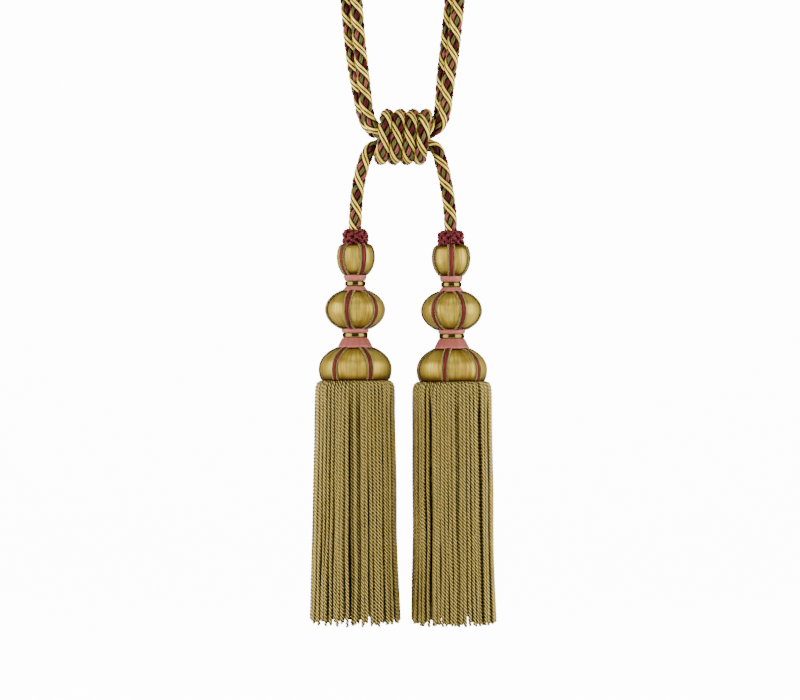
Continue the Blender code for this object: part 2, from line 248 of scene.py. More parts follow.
silkBasics = {"twist": 0.0, "relief": 0.4, "streaks": 0.9, "plies": 0, "valleyShade": 0, "furrow": 0.35,
              "dullness": 0.35, "metallic": 0.0, "anisotropy": 0.0}  # for what a silk doesn't say itself
plainYarn = {"across": 20, "along": 0.15, "twist": 0.05, "metallic": 0.05, "anisotropy": 0.1}
# each silk: the light and dark colours of its own streaks, and the colour of its painted shade
silks = {
    "gold": {"light": (0.86, 0.64, 0.10), "dark": (0.39, 0.26, 0.024), "shadow": (0.015, 0.008, 0.001),
             "across": 22, "along": 0.12, "twist": 0.03, "dullness": 0.28, "metallic": 0.35,
             "anisotropy": 0.3},
    "crimson": {"light": (0.19, 0.023, 0.030), "dark": (0.068, 0.005, 0.007), "shadow": (0.012, 0.001, 0.002),
                **plainYarn},
    "rose": {"light": (0.55, 0.20, 0.14), "dark": (0.29, 0.072, 0.050), "shadow": (0.035, 0.007, 0.007),
             **plainYarn},
    "olive": {"light": (0.29, 0.26, 0.086), "dark": (0.077, 0.065, 0.016), "shadow": (0.015, 0.011, 0.003),
              **plainYarn},
    "bullion": {"light": (1.0, 0.78, 0.23), "dark": (0.96, 0.68, 0.13), "shadow": (0.010, 0.005, 0.001),
                "across": 18, "along": 0.3, "relief": 0.15, "streaks": 0.8, "plies": 3, "valleyShade": 1.0,
                "furrow": 1.18, "dullness": 0.5},
    # near-black, standing for the shade deep inside the cord and under the ruff
    "shadeFill": {"light": (0.027, 0.014, 0.007), "dark": (0.011, 0.005, 0.003), "shadow": (0.006, 0.003, 0.002),
                 "across": 6, "along": 0.2, "twist": 0.1, "relief": 0.5},
    "beadSatin": {"light": (0.35, 0.27, 0.038), "dark": (0.16, 0.098, 0.011), "shadow": (0.045, 0.016, 0.002),
                  "across": 110, "along": 0.08, "relief": 0.35, "streaks": 1.0, "dullness": 0.33,
                  "metallic": 0.6, "anisotropy": 0.7},
    "ribSatin": {"light": (0.11, 0.015, 0.012), "dark": (0.030, 0.003, 0.003), "shadow": (0.02, 0.002, 0.002),
                 "across": 16, "along": 0.12, "relief": 0.5, "dullness": 0.3, "metallic": 0.35,
                 "anisotropy": 0.5},
    "ribEdge": {"light": (0.40, 0.34, 0.13), "dark": (0.18, 0.14, 0.033), "shadow": (0.010, 0.007, 0.002),
                "across": 8, "along": 0.4, "relief": 0.2, "streaks": 0.6, "plies": 3, "valleyShade": 1.0,
                "furrow": 0.85},
    "ruffSilk": {"light": (0.19, 0.035, 0.040), "dark": (0.063, 0.007, 0.011), "shadow": (0.012, 0.001, 0.002),
                 "across": 16, "along": 0.3, "relief": 0.7, "plies": 3, "valleyShade": 0.75, "metallic": 0.25,
                 "anisotropy": 0.2},
    "spoolSilk": {"light": (0.29, 0.094, 0.074), "dark": (0.20, 0.053, 0.039), "shadow": (0.08, 0.014, 0.012),
                  "across": 130, "along": 0.06, "relief": 0.5, "streaks": 0.8, "metallic": 0.1,
                  "anisotropy": 0.4},
    "bandSatin": {"light": (0.11, 0.090, 0.021), "dark": (0.076, 0.053, 0.009), "shadow": (0.02, 0.012, 0.004),
                  "across": 5, "along": 0.3, "relief": 0.1, "streaks": 0.6, "dullness": 0.1, "metallic": 0.95,
                  "anisotropy": 0.5},
}


def makeSilk(name, spec):
    spec = {**silkBasics, **spec}
    made = bpy.data.materials.new(name)
    made.use_nodes = True
    tree = made.node_tree
    shader = tree.nodes["Principled BSDF"]
    threads = tree.nodes.new("ShaderNodeGroup")
    threads.node_tree = silkThreads
    for label in ("light", "dark", "shadow"):
        threads.inputs[label.capitalize()].default_value = (*spec[label], 1)
    for label in ("across", "along", "twist", "relief", "streaks", "plies", "valleyShade", "furrow", "dullness"):
        threads.inputs[label.capitalize()].default_value = spec[label]
    for given, socket in (("Colour", "Base Color"), ("Roughness", "Roughness"), ("Normal", "Normal")):
        tree.links.new(threads.outputs[given], shader.inputs[socket])
    grain = tree.nodes.new("ShaderNodeTangent")  # the shine spreads across the threads
    grain.direction_type = "UV_MAP"
    grain.uv_map = "threads"
    tree.links.new(grain.outputs[0], shader.inputs["Tangent"])
    shader.inputs["Anisotropic"].default_value = spec["anisotropy"]
    shader.inputs["Metallic"].default_value = spec["metallic"]
    shader.inputs["Specular Tint"].default_value = (*spec["light"], 1)
    return made


materials = {name: makeSilk(name, spec) for name, spec in silks.items()}
print("materials ready")

# Mesh helpers


def addMesh(name, verts, loops, sizes, uvs, slots, slotNames, paintedShade):
    mesh = bpy.data.meshes.new(name)
    mesh.vertices.add(len(verts))
    mesh.vertices.foreach_set("co", (np.asarray(verts, np.float32) * mm).ravel())
    mesh.loops.add(len(loops))
    mesh.loops.foreach_set("vertex_index", np.asarray(loops, np.int32))
    mesh.polygons.add(len(sizes))
    starts = np.concatenate([[0], np.cumsum(sizes)[:-1]]).astype(np.int32)
    mesh.polygons.foreach_set("loop_start", starts)
    mesh.polygons.foreach_set("material_index", np.asarray(slots, np.int32))
    mesh.uv_layers.new(name="threads").data.foreach_set("uv", np.asarray(uvs, np.float32).ravel())
    mesh.attributes.new("paintedShade", "FLOAT", "POINT").data.foreach_set("value", np.asarray(paintedShade, np.float32))
    mesh.update(calc_edges=True)
    mesh.validate()
    mesh.shade_smooth()
    for slotName in slotNames:
        mesh.materials.append(materials[slotName])
    made = bpy.data.objects.new(name, mesh)
    bpy.context.scene.collection.objects.link(made)
    return made


def addTubes(name, tubes, slotNames):
    # a tube: rings (n, m, 3) and run (n) in mm, its material slot, and the painted shade on each ring or
    # point, by how deep it lies
    verts, loops, sizes, uvs, slots, paintedShades = [], [], [], [], [], []
    base = 0
    for rings, run, slot, *paintedShade in tubes:
        n, m = rings.shape[:2]
        verts.append(rings.reshape(-1, 3))
        depth = np.asarray(paintedShade[0] if paintedShade else 0.0, float)
        depth = depth[:, None] if depth.ndim == 1 else depth
        paintedShades.append(np.broadcast_to(depth, (n, m)).ravel())
        i, j = np.meshgrid(np.arange(n - 1), np.arange(m), indexing="ij")
        k = (j + 1) % m
        quads = np.stack([i * m + j, i * m + k, (i + 1) * m + k, (i + 1) * m + j], -1).reshape(-1, 4)
        u0, u1 = j / m, (j + 1) / m
        v0, v1 = run[i], run[i + 1]
        around = np.stack([u0, u1, u1, u0], -1).reshape(-1, 4)
        along = np.stack([v0, v0, v1, v1], -1).reshape(-1, 4)
        loops += [quads.ravel() + base, np.arange(m)[::-1] + base, np.arange(m) + base + (n - 1) * m]
        uvs += [np.stack([around, along], -1).reshape(-1, 2), np.zeros((2 * m, 2))]
        sizes += [np.full(len(quads), 4), np.array([m, m])]
        slots += [np.full(len(quads) + 2, slot)]
        base += n * m
    return addMesh(name, np.concatenate(verts), np.concatenate(loops), np.concatenate(sizes),
                   np.concatenate(uvs), np.concatenate(slots), slotNames, np.concatenate(paintedShades))


def unit(vectors):
    return vectors / np.linalg.norm(vectors, axis=-1, keepdims=True)


def runLength(path):
    return np.concatenate([[0], np.cumsum(np.linalg.norm(np.diff(path, axis=0), axis=1))])


def smoothPath(points, step):
    # natural cubic spline through the points, evenly spaced
    knots = np.array(points, float)
    chord = runLength(knots)
    width = np.diff(chord)
    count = len(knots)
    system = np.eye(count)
    rise = np.zeros((count, 3))
    slope = np.diff(knots, axis=0) / width[:, None]
    for i in range(1, count - 1):
        system[i, i - 1:i + 2] = width[i - 1], 2 * (width[i - 1] + width[i]), width[i]
        rise[i] = 6 * (slope[i] - slope[i - 1])
    bend = np.linalg.solve(system, rise)
    dense = np.linspace(0, chord[-1], 40 * count)  # close enough together to be measured along
    cell = np.clip(np.searchsorted(chord, dense) - 1, 0, count - 2)
    left = ((chord[cell + 1] - dense) / width[cell])[:, None]
    right = 1 - left
    curve = left * knots[cell] + right * knots[cell + 1]
    bow = (left**3 - left) * bend[cell] + (right**3 - right) * bend[cell + 1]
    curve += bow * (width[cell] ** 2)[:, None] / 6
    run = runLength(curve)
    even = np.linspace(0, run[-1], round(run[-1] / step) + 1)
    return np.stack([np.interp(even, run, curve[:, k]) for k in range(3)], axis=1)


def carriedFrame(path):
    # a frame carried along the path without turning about it
    tangent = unit(np.gradient(path, axis=0))
    normal = np.zeros_like(path)
    front = np.array([0, -1, 0])
    start = front - tangent[0] * np.dot(front, tangent[0])
    normal[0] = start / np.linalg.norm(start)
    for i in range(1, len(path)):
        carried = normal[i - 1] - tangent[i] * np.dot(normal[i - 1], tangent[i])
        normal[i] = carried / np.linalg.norm(carried)
    return tangent, normal, np.cross(tangent, normal)


def wound(path, normal, side, radius, angle):
    # a line wound round a path, and its own frame with the normal facing out
    outward = np.cos(angle)[:, None] * normal + np.sin(angle)[:, None] * side
    line = path + radius * outward
    tangent = unit(np.gradient(line, axis=0))
    facing = unit(outward - tangent * np.sum(outward * tangent, axis=1, keepdims=True))
    return line, facing, np.cross(tangent, facing)


def tubeRings(line, facing, side, section):
    # section: (corners, 2) offsets out and aside, the same all along or one for each ring
    section = np.asarray(section)
    if section.ndim == 2:
        section = np.broadcast_to(section, (len(line), *section.shape))
    return line[:, None] + section[..., :1] * facing[:, None] + section[..., 1:] * side[:, None]


def roundSection(radius, corners):
    angle = np.arange(corners) * 2 * math.pi / corners
    return np.stack([radius * np.cos(angle), radius * np.sin(angle)], axis=1)


def finishPiece(made, slot, *nodes):
    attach(made, "root")
    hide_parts(*nodes)


# Laid cord: two pairs of gold yarns between two plied strands, turning once in every pitch

cord = {"diameter": 10.0, "pitch": 34.7, "step": 0.9, "corners": 10, "traceEvery": 4,
        "goldRadius": 1.05, "goldReach": 4.05, "goldSpread": 16.5, "goldEvery": 2,
        "plyReach": 2.85, "plyOffset": 1.4, "plyHeight": 1.2, "plyWidth": 1.45, "plyPitch": 7.3,
        "furrow": 0.55, "furrowShade": 0.95, "coreRadius": 3.3, "coreCorners": 8, "coreEvery": 4}
# painted shade on a yarn underneath and beside its neighbours: amount, and where it starts
yarnShades = {"under": (0.98, 0.2), "besideGold": (0.97, 0.0), "besidePlied": (0.94, 0.22), "besideSpan": 0.6,
              "outside": (0.5, 0.6)}
# how far the twist has slipped, in degrees, by some places along the run in mm: mostly out of sight
slipLoop = [(0, -88), (55, -54), (80, -45), (117, -188), (154, -224), (202, -256), (537, -478), (571, -500),
            (603, -520), (652, -450), (681, -475), (728, -506), (1053, -482), (1103, -494), (1135, -500),
            (1177, -408), (1199, -397), (1234, -382)]
slipBinding = [(37, 162), (141, 147), (244, 74), (348, -30)]
knot = {"length": 36.0, "inner": 6.15, "passTurn": 120, "passSteps": 8, "ease": 0.045,
        "winding": 16.4, "pitch": 9.65, "first": -130, "last": 1185, "windingStep": 15, "middle": 1.5,
        "shift": 0.3}

leftLeg = [(-36.6, 0, -80.0), (-36.6, 0, -65), (-35.9, 0, -51), (-34.4, 0, -37.5),
           (-31.9, 0, -25.5), (-28.9, 0, -16.0), (-24.6, 0, -8.9)]
rightLeg = [(23.5, 0, -8.3), (26.7, 0, -14.7), (29.4, 0, -25.2), (31.9, 0, -37.5),
            (33.9, 0, -51), (34.9, 0, -65), (35.1, 0, -80.9)]
rightFrontArm = [(22.2, -5.3, 4.6), (26.4, -5.2, 8.4), (29.7, -5.0, 15.6), (31.6, -4.8, 28),
                 (34.2, -4.6, 46.7), (36.9, -4.6, 65.5), (38.9, -4.6, 84.2), (40.9, -4.6, 103)]
rightBackArm = [(19.4, 5.2, 5.0), (24.0, 5.3, 9.2), (26.8, 5.2, 16.8), (28.1, 4.9, 28),
                (29.4, 4.6, 46.7), (31.5, 4.6, 65.5), (33.5, 4.6, 84.2), (35.2, 4.6, 103)]
leftFrontArm = [(-35.9, -4.6, 103), (-34.6, -4.6, 84.2), (-32.9, -4.6, 65.5), (-30.8, -4.6, 46.7),
                (-28.7, -4.8, 28), (-27.1, -5.0, 16.8), (-24.0, -5.1, 9.2), (-19.4, -5.2, 5.0)]
leftBackArm = [(-42.9, 4.6, 103), (-41.4, 4.6, 84.2), (-39.4, 4.6, 65.5), (-36.6, 4.6, 46.7),
               (-33.0, 4.8, 28), (-30.5, 5.1, 16.6), (-27.0, 5.3, 9.0), (-22.2, 5.3, 4.6)]
frontTop = [(42.3, -4.6, 135), (41.3, -4.8, 163), (36.5, -5.0, 190), (26.6, -5.1, 210.5),
            (13.0, -5.1, 222.5), (2.0, -5.1, 225.7), (-9.0, -5.1, 222.5), (-22.6, -5.1, 210.5),
            (-32.5, -5.0, 190), (-36.2, -4.8, 163), (-36.9, -4.6, 135)]
backTop = [(36.4, 4.6, 135), (35.6, 4.8, 163), (31.0, 5.0, 190), (21.6, 5.1, 210.5),
           (8.0, 5.1, 222.5), (-3.0, 5.1, 225.7), (-14.0, 5.1, 222.5), (-27.6, 5.1, 210.5),
           (-38.0, 5.0, 190), (-43.1, 4.8, 163), (-44.0, 4.6, 135)]


def throughKnot(start):
    points = []
    for k in range(knot["passSteps"] + 1):
        share = k / knot["passSteps"]
        eased = share - knot["ease"] * math.sin(2 * math.pi * share)
        angle = math.radians(start - knot["passTurn"] * eased)
        points.append((knot["length"] * (share - 0.5), knot["inner"] * math.cos(angle),
                       knot["inner"] * math.sin(angle)))
    return points


def loopRoute():
    return (leftLeg + throughKnot(-90) + rightFrontArm + frontTop + leftFrontArm + throughKnot(150)[1:-1]
            + rightBackArm + backTop + leftBackArm + throughKnot(30) + rightLeg)


def bindingRoute():
    points = []
    for degrees in range(knot["first"], knot["last"] + 1, knot["windingStep"]):
        angle = math.radians(degrees)
        points.append((knot["pitch"] * (degrees / 360 - knot["middle"]) - knot["shift"],
                       -knot["winding"] * math.cos(angle), knot["winding"] * math.sin(angle)))
    return points


def underShade(angle):
    amount, start = yarnShades["under"]
    return amount * np.clip((-np.cos(angle) + start) / (1 - start), 0, 1)


def goldShade(lean):
    # painted shade underneath and where its twin lies, less so on the other side
    angle = np.arange(cord["corners"]) * 2 * math.pi / cord["corners"]
    aside = -lean * np.sin(angle)
    amount, start = yarnShades["besideGold"]
    beside = amount * np.clip((aside - start) / yarnShades["besideSpan"], 0, 1)
    amount, start = yarnShades["outside"]
    outside = amount * np.clip((-aside - start) / (1 - start), 0, 1)
    return np.clip(underShade(angle) + beside + outside, 0, 1)


def pliedShade():
    # painted shade underneath, on both sides and in the furrow down the middle
    angle = np.arange(cord["corners"]) * 2 * math.pi / cord["corners"]
    amount, start = yarnShades["besidePlied"]
    beside = amount * np.clip((np.abs(np.sin(angle)) - start) / yarnShades["besideSpan"], 0, 1)
    furrow = cord["furrowShade"] * (np.arange(cord["corners"]) == 0)
    return np.clip(underShade(angle) + beside + furrow, 0, 1)


def thinned(count, every):
    # every so many places along a run, with the last one kept
    return np.unique(np.append(np.arange(0, count, every), count - 1))


def layCord(name, node, route, slips):
    path = smoothPath(route, cord["step"])
    path[:, 2] -= loopRise
    tangent, normal, side = carriedFrame(path)
    run = runLength(path)
    slip = np.radians(np.interp(run, *zip(*slips)))
    lay = slip - 2 * math.pi * run / cord["pitch"]  # falls to the right at the front
    ply = 2 * math.pi * run / cord["plyPitch"]
    tubes = []
    keep = thinned(len(path), cord["goldEvery"])
    section = roundSection(cord["goldRadius"], cord["corners"])
    for strand in (0, 2):  # gold pairs
        for lean in (-1, 1):
            angle = lay + strand * math.pi / 2 + math.radians(lean * cord["goldSpread"])
            line, facing, across = wound(path, normal, side, cord["goldReach"], angle)
            rings = tubeRings(line[keep], facing[keep], across[keep], section)
            tubes.append((rings, run[keep], 0, np.broadcast_to(goldShade(lean), rings.shape[:2])))
    section = roundSection(1.0, cord["corners"]) * [cord["plyHeight"], cord["plyWidth"]]
    section[0] *= cord["furrow"]  # a doubled yarn, with a furrow down its middle
    for strand, colours in ((1, (1, 2)), (3, (3, 2))):  # plied strands
        line, facing, across = wound(path, normal, side, cord["plyReach"], lay + strand * math.pi / 2)
        for yarn in (0, 1):
            thread, out, width = wound(line, facing, across, cord["plyOffset"], ply + yarn * math.pi)
            rings = tubeRings(thread, out, width, section)
            tubes.append((rings, run, colours[yarn], np.broadcast_to(pliedShade(), rings.shape[:2])))
    # a core painted near-black, standing for the shade deep between the strands
    keep = thinned(len(path), cord["coreEvery"])
    section = roundSection(cord["coreRadius"], cord["coreCorners"])
    tubes.append((tubeRings(path[keep], normal[keep], side[keep], section), run[keep], 4))
    made = addTubes(name, tubes, ["gold", "crimson", "olive", "rose", "shadeFill"])
    finishPiece(made, "laid_cord", node)


layCord("laidCordLoop", "cord_loop", loopRoute(), slipLoop)
layCord("laidCordBinding", "cord_binding", bindingRoute(), slipBinding)
print("cords laid")

# Tassel bodies: each piece hangs below the last, down the tassel's own axis

tassels = {
    "Left": {"axis": -36.6, "top": -69.2, "lean": 0.0, "ribs": (-45, -75, -34), "skirtScale": (1.01, 1.012),
             "seed": 5},
    "Right": {"axis": 35.1, "top": -70.0, "lean": 0.5, "ribs": (0, -38, -73), "skirtScale": (1.01, 0.94),
              "seed": 8},
}
gap = 0.3  # between one piece and the next
anyPhase = (0, 6.28)  # where a wave may start
up = np.array([0, 0, 1])
plyFurrow = 0.55
threePly = roundSection(1.0, 6) * np.where(np.arange(6) % 2, plyFurrow, 1.0)[:, None]  # lobe, furrow, lobe


def twistedPly(radius, twist):
    # the plied section, turned by the twist at each ring
    ply = threePly * np.reshape(radius, (-1, 1, 1))
    return np.stack([ply[..., 0] * np.cos(twist)[:, None] - ply[..., 1] * np.sin(twist)[:, None],
                     ply[..., 0] * np.sin(twist)[:, None] + ply[..., 1] * np.cos(twist)[:, None]], -1)


def placed(points, spec):
    # from a tassel's own axis, top down, to the hanging frame
    lean = math.radians(spec["lean"])
    x, y, z = points[..., 0], points[..., 1], points[..., 2]
    return np.stack([spec["axis"] + x * math.cos(lean) - z * math.sin(lean), y,
                     spec["top"] - loopRise + z * math.cos(lean) + x * math.sin(lean)], axis=-1)


def softened(outline, rounds):
    points = np.array(outline, float)
    for _ in range(rounds):  # cut each corner
        near = 0.75 * points[:-1] + 0.25 * points[1:]
        far = 0.25 * points[:-1] + 0.75 * points[1:]
        points = np.concatenate([points[:1], np.stack([near, far], 1).reshape(-1, 2), points[-1:]])
    return points


def turnedRings(outline, steps, shape=None):
    # an outline of (reach, height) turned round the axis; shape(angle, row) adds to the reach
    angle = np.arange(steps) * 2 * math.pi / steps
    radius = np.repeat(outline[:, :1], steps, axis=1)
    if shape is not None:
        radius = radius + shape(angle[None, :], np.arange(len(outline))[:, None])
    height = np.repeat(outline[:, 1:], steps, axis=1)
    return np.stack([radius * np.cos(angle), radius * np.sin(angle), height], -1)


beads = {
    "Small": {"height": 23.0, "radius": 13.75, "equator": 0.42, "top": 11.2, "bottom": 7.6, "shoulder": 2.4,
              "ribs": 5},
    "Medium": {"height": 28.1, "radius": 21.9, "equator": 0.5, "top": 8.0, "bottom": 9.2, "shoulder": 0.4,
               "ribs": 6},
    "Large": {"height": 24.3, "radius": 26.3, "equator": 0.65, "top": 11.6, "bottom": 24.4, "shoulder": 0.4,
              "ribs": 6},
}
beadWork = {"rows": 26, "steps": 84, "shoulderReach": 3, "pinch": 0.35, "pinchWidth": 2.6,
            "gather": 0.22, "gatherReach": 3.5, "folds": 7, "foldCounts": (17, 61), "neck": 0.8,
            "shade": 2.0, "shadeReach": 3.0, "darkest": 0.95}


def beadOutline(bead, rows):
    upper = bead["height"] * bead["equator"]
    lower = bead["height"] - upper
    start = math.asin(bead["top"] / bead["radius"])
    end = math.pi - math.asin(bead["bottom"] / bead["radius"])
    angle = np.linspace(start, end, rows)
    reach = np.where(angle < math.pi / 2, upper / math.cos(start), -lower / math.cos(end))
    outline = np.stack([bead["radius"] * np.sin(angle), reach * np.cos(angle) - upper], axis=1)
    inward = np.clip(1 - runLength(outline) / beadWork["shoulderReach"], 0, 1) ** 2
    outline[:, 0] -= bead["shoulder"] * inward
    return outline


def ribAngles(bead, first):
    return np.radians(first - 90 + 360 * np.arange(bead["ribs"]) / bead["ribs"])


def nearEnds(run, reach):
    # 1 at both ends of a run, and fading away from them
    return np.exp(-run / reach) + np.exp(-(run[-1] - run) / reach)


def addBead(side, size, depth):
    spec, bead = tassels[side], beads[size]
    outline = beadOutline(bead, beadWork["rows"])
    angles = ribAngles(bead, spec["ribs"][list(beads).index(size)])
    run = runLength(outline)
    chance = random.Random(spec["seed"] + len(size))
    waves = [(chance.randint(*beadWork["foldCounts"]), chance.uniform(*anyPhase))
             for _ in range(beadWork["folds"])]
    gathered = nearEnds(run, beadWork["gatherReach"])

    def shape(angle, row):
        turn = np.abs((angle[..., None] - angles + math.pi) % (2 * math.pi) - math.pi).min(-1)
        away = turn * outline[row, 0]  # from the nearest rib
        pinch = -beadWork["pinch"] * np.exp(-(away / beadWork["pinchWidth"]) ** 2)
        folds = sum(np.sin(count * angle + start) for count, start in waves) / len(waves)
        return pinch + beadWork["gather"] * gathered[row] * folds

    rings = turnedRings(outline, beadWork["steps"], shape)
    # neck rings that reach into the gap, painted darkest as the shade there
    neck = [beadWork["neck"], beadWork["neck"], 1]
    rings = np.concatenate([rings[:1] * neck + gap * up, rings, rings[-1:] * neck - gap * up])
    rings[..., 2] += depth
    # painted shade near both necks, fading away from them
    darkest = beadWork["darkest"]
    shade = np.clip(beadWork["shade"] * nearEnds(run, beadWork["shadeReach"]), 0, darkest)
    paintedShade = np.concatenate([[darkest], shade, [darkest]])
    run = np.concatenate([[-1], run, [run[-1] + 1]])
    made = addTubes(f"bead{size}{side}", [(placed(rings[:, ::-1], spec), run, 0, paintedShade)], ["beadSatin"])
    finishPiece(made, "satin", f"bead_{size.lower()}_{side.lower()}")


rib = {"stations": 26, "start": 0.005, "end": 0.995, "outlineRows": 400, "dip": 0.9, "dipReach": 1.8,
       "coreWidth": 1.3, "coreHeight": 0.95, "coreLift": 0.4, "coreCorners": 12,
       "edgeAway": 1.95, "edgeRadius": 0.82, "edgeLift": 0.35, "edgePitch": 5.2, "edgeStep": 0.5}


def addRibs(side, size, depth):
    spec, bead = tassels[side], beads[size]
    dense = beadOutline(bead, rib["outlineRows"])
    run = runLength(dense)

    def alongBead(count, lift, radial, aside):
        at = np.linspace(rib["start"], rib["end"], count) * run[-1]
        spot = np.stack([np.interp(at, run, dense[:, k]) for k in (0, 1)], 1)
        down = unit(np.gradient(spot, axis=0))
        end = np.clip(1 - np.minimum(at, run[-1] - at) / rib["dipReach"], 0, 1)
        facing = -down[:, 1:] * radial + down[:, :1] * up
        raised = lift - rib["dip"] * end[:, None] ** 2
        line = spot[:, :1] * radial + (spot[:, 1:] + depth) * up + raised * facing
        return at, line, facing, np.broadcast_to(aside, line.shape)

    core = roundSection(1.0, rib["coreCorners"]) * [rib["coreHeight"], rib["coreWidth"]]
    for k, angle in enumerate(ribAngles(bead, spec["ribs"][list(beads).index(size)])):
        radial = np.array([math.cos(angle), math.sin(angle), 0])
        aside = np.array([-math.sin(angle), math.cos(angle), 0])
        at, line, facing, across = alongBead(rib["stations"], rib["coreLift"], radial, aside)
        tubes = [(placed(tubeRings(line, facing, across, core), spec), at, 0)]
        at, line, facing, across = alongBead(round(run[-1] / rib["edgeStep"]), rib["edgeLift"], radial, aside)
        for way in (-1, 1):
            turned = twistedPly(rib["edgeRadius"], way * 2 * math.pi * at / rib["edgePitch"])
            rings = tubeRings(line + way * rib["edgeAway"] * aside, facing, across, turned)
            tubes.append((placed(rings, spec), at, 1))
        made = addTubes(f"rib{size}{side}{k + 1}", tubes, ["ribSatin", "ribEdge"])
        finishPiece(made, "gimp", f"rib_{size.lower()}_{side.lower()}_{k + 1}")


# a spool's outline runs down its side, as (reach, height)
# the band in its waist is given by its reach, its middle and half its height
spools = {
    "Upper": {"outline": [(5, 0.3), (8.0, 0.3), (8.7, -0.1), (8.7, -1.4), (8.3, -2.8), (7.6, -4.3),
                          (5.4, -4.5), (5.4, -8.1), (7.4, -8.2), (7.8, -8.9), (8.7, -10.2), (9.3, -10.9),
                          (9.2, -11.7), (5, -11.8)],
              "shade": (8.6, 0.12), "depth": 11.4, "band": (7.0, -6.3, 1.75)},
    "Lower": {"outline": [(5, 0.3), (9.6, 0.3), (10.3, -0.1), (10.3, -1.5), (10.0, -2.5), (9.4, -3.1),
                          (7.4, -3.2), (7.4, -6.4), (9.7, -6.5), (10.1, -7.3), (11.2, -9.2), (12.2, -11.2),
                          (12.9, -12.6), (13.2, -13.3), (13.0, -14.3), (6, -14.4)],
              "shade": (6.5, 0.36), "depth": 13.9, "band": (8.8, -4.8, 1.65)},
}
spoolWork = {"steps": 64, "cuts": 2, "shadeFade": 0.6, "rim": 1, "topEdge": 0.15, "topShade": 0.95}
band = {"thick": 0.8, "steps": 72,
        "section": [(1, -0.75), (1, -0.4), (1, 0.4), (1, 0.75), (0.5, 1), (-1, 1), (-1, -1), (0.5, -1)]}


def addSpool(side, size, depth):
    spec, spool = tassels[side], spools[size]
    outline = softened(spool["outline"], spoolWork["cuts"])
    rings = turnedRings(outline, spoolWork["steps"])
    rings[..., 2] += depth
    start, amount = spool["shade"]  # the lower flare lies in its own shade, all but its rim
    height, fade = outline[:, 1], spoolWork["shadeFade"]
    aboveRim = height + spool["depth"] - spoolWork["rim"]
    paintedShade = amount * np.clip((-height - start) / fade, 0, 1) * np.clip(aboveRim / fade, 0, 1)
    onTop = height > spoolWork["topEdge"]  # painted shade on the top face, which lies under the bead
    paintedShade = np.maximum(paintedShade, spoolWork["topShade"] * onTop)
    tube = (placed(rings[:, ::-1], spec), runLength(outline), 0, paintedShade)
    made = addTubes(f"spool{size}{side}", [tube], ["spoolSilk"])
    finishPiece(made, "spool", f"spool_{size.lower()}_{side.lower()}")


def addBand(side, size, depth):
    angle = np.arange(band["steps"] + 1) * 2 * math.pi / band["steps"]
    reach, middle, tall = spools[size]["band"]
    line = np.stack([reach * np.cos(angle), reach * np.sin(angle), np.full_like(angle, middle + depth)], 1)
    out = unit(line * [1, 1, 0])
    section = np.array(band["section"]) * [band["thick"], tall]
    rings = tubeRings(line, out, np.broadcast_to(up, out.shape), section)
    made = addTubes(f"band{size}{side}", [(placed(rings, tassels[side]), angle * reach, 0)], ["bandSatin"])
    finishPiece(made, "band", f"band_{size.lower()}_{side.lower()}")


ruff = {"height": 11.0, "tall": 11.9, "reach": 8.2, "drop": 0.1, "leads": 4, "bights": 9, "wave": 0.8,
        "lag": 0.6, "bulgeTop": 0.9, "bulgeBottom": -0.5, "cordRadius": 1.35, "knob": 0.24, "knobSpan": 3.3,
        "pitch": 3.9, "step": 0.42, "slant": 1.5, "loose": 0.5, "looseReach": 0.5, "waves": 6,
        "waveCounts": (2.0, 6.5), "endEase": 2, "bore": 5.2, "sleeve": 6.8, "sleeveSteps": 28}


def addRuff(side):
    # interlaced collar of a thick plied cord, round a sleeve painted near-black as the shade inside it
    spec = tassels[side]
    chance = random.Random(spec["seed"])
    waves = [(chance.uniform(*ruff["waveCounts"]), chance.uniform(*anyPhase)) for _ in range(ruff["waves"])]
    full = 2 * math.pi * ruff["leads"]
    turns = np.linspace(0, full, round(full * ruff["reach"] * ruff["slant"] / ruff["step"]))
    ease = np.clip(np.minimum(turns, full - turns) * ruff["endEase"], 0, 1)  # the ends meet
    loose = [ruff["loose"] * ease * sum(np.sin(count * turns + start) for count, start in waves[k::2])
             for k in (0, 1)]
    beat = turns * ruff["bights"] / ruff["leads"]
    tall = ruff["tall"] / 2 - ruff["cordRadius"]
    height = tall * np.sin(beat) + loose[0]
    bulge = np.where(height > 0, ruff["bulgeTop"], ruff["bulgeBottom"])
    reach = ruff["reach"] + ruff["wave"] * np.sin(2 * beat + ruff["lag"]) - bulge * (height / tall) ** 2
    reach = reach + ruff["looseReach"] * loose[1]
    height = height - ruff["tall"] / 2 - ruff["drop"]
    line = np.stack([reach * np.cos(turns), reach * np.sin(turns), height], 1)
    normal, across = carriedFrame(line)[1:]
    run = runLength(line)
    knobs = ruff["cordRadius"] * (1 + ruff["knob"] * np.sin(2 * math.pi * run / ruff["knobSpan"]))
    rings = tubeRings(line, normal, across, twistedPly(knobs, -2 * math.pi * run / ruff["pitch"]))
    # the sleeve under the cord is painted near-black, standing for the shade inside the collar
    bore, wall, low = ruff["bore"], ruff["sleeve"], -ruff["height"]
    sleeve = [(bore, -0.6), (wall, -1), (wall + 0.8, low / 2), (wall, 1 + low), (bore, 0.2 + low)]
    sleeve = softened(sleeve, 1)
    tubes = [(placed(rings, spec), run, 0),
             (placed(turnedRings(sleeve, ruff["sleeveSteps"])[:, ::-1], spec), runLength(sleeve), 1)]
    made = addTubes(f"ruff{side}", tubes, ["ruffSilk", "shadeFill"])
    finishPiece(made, "ruff", f"ruff_{side.lower()}")


# Bullion skirts: hard-twisted cords packed at the head, that part and slip behind each other lower down

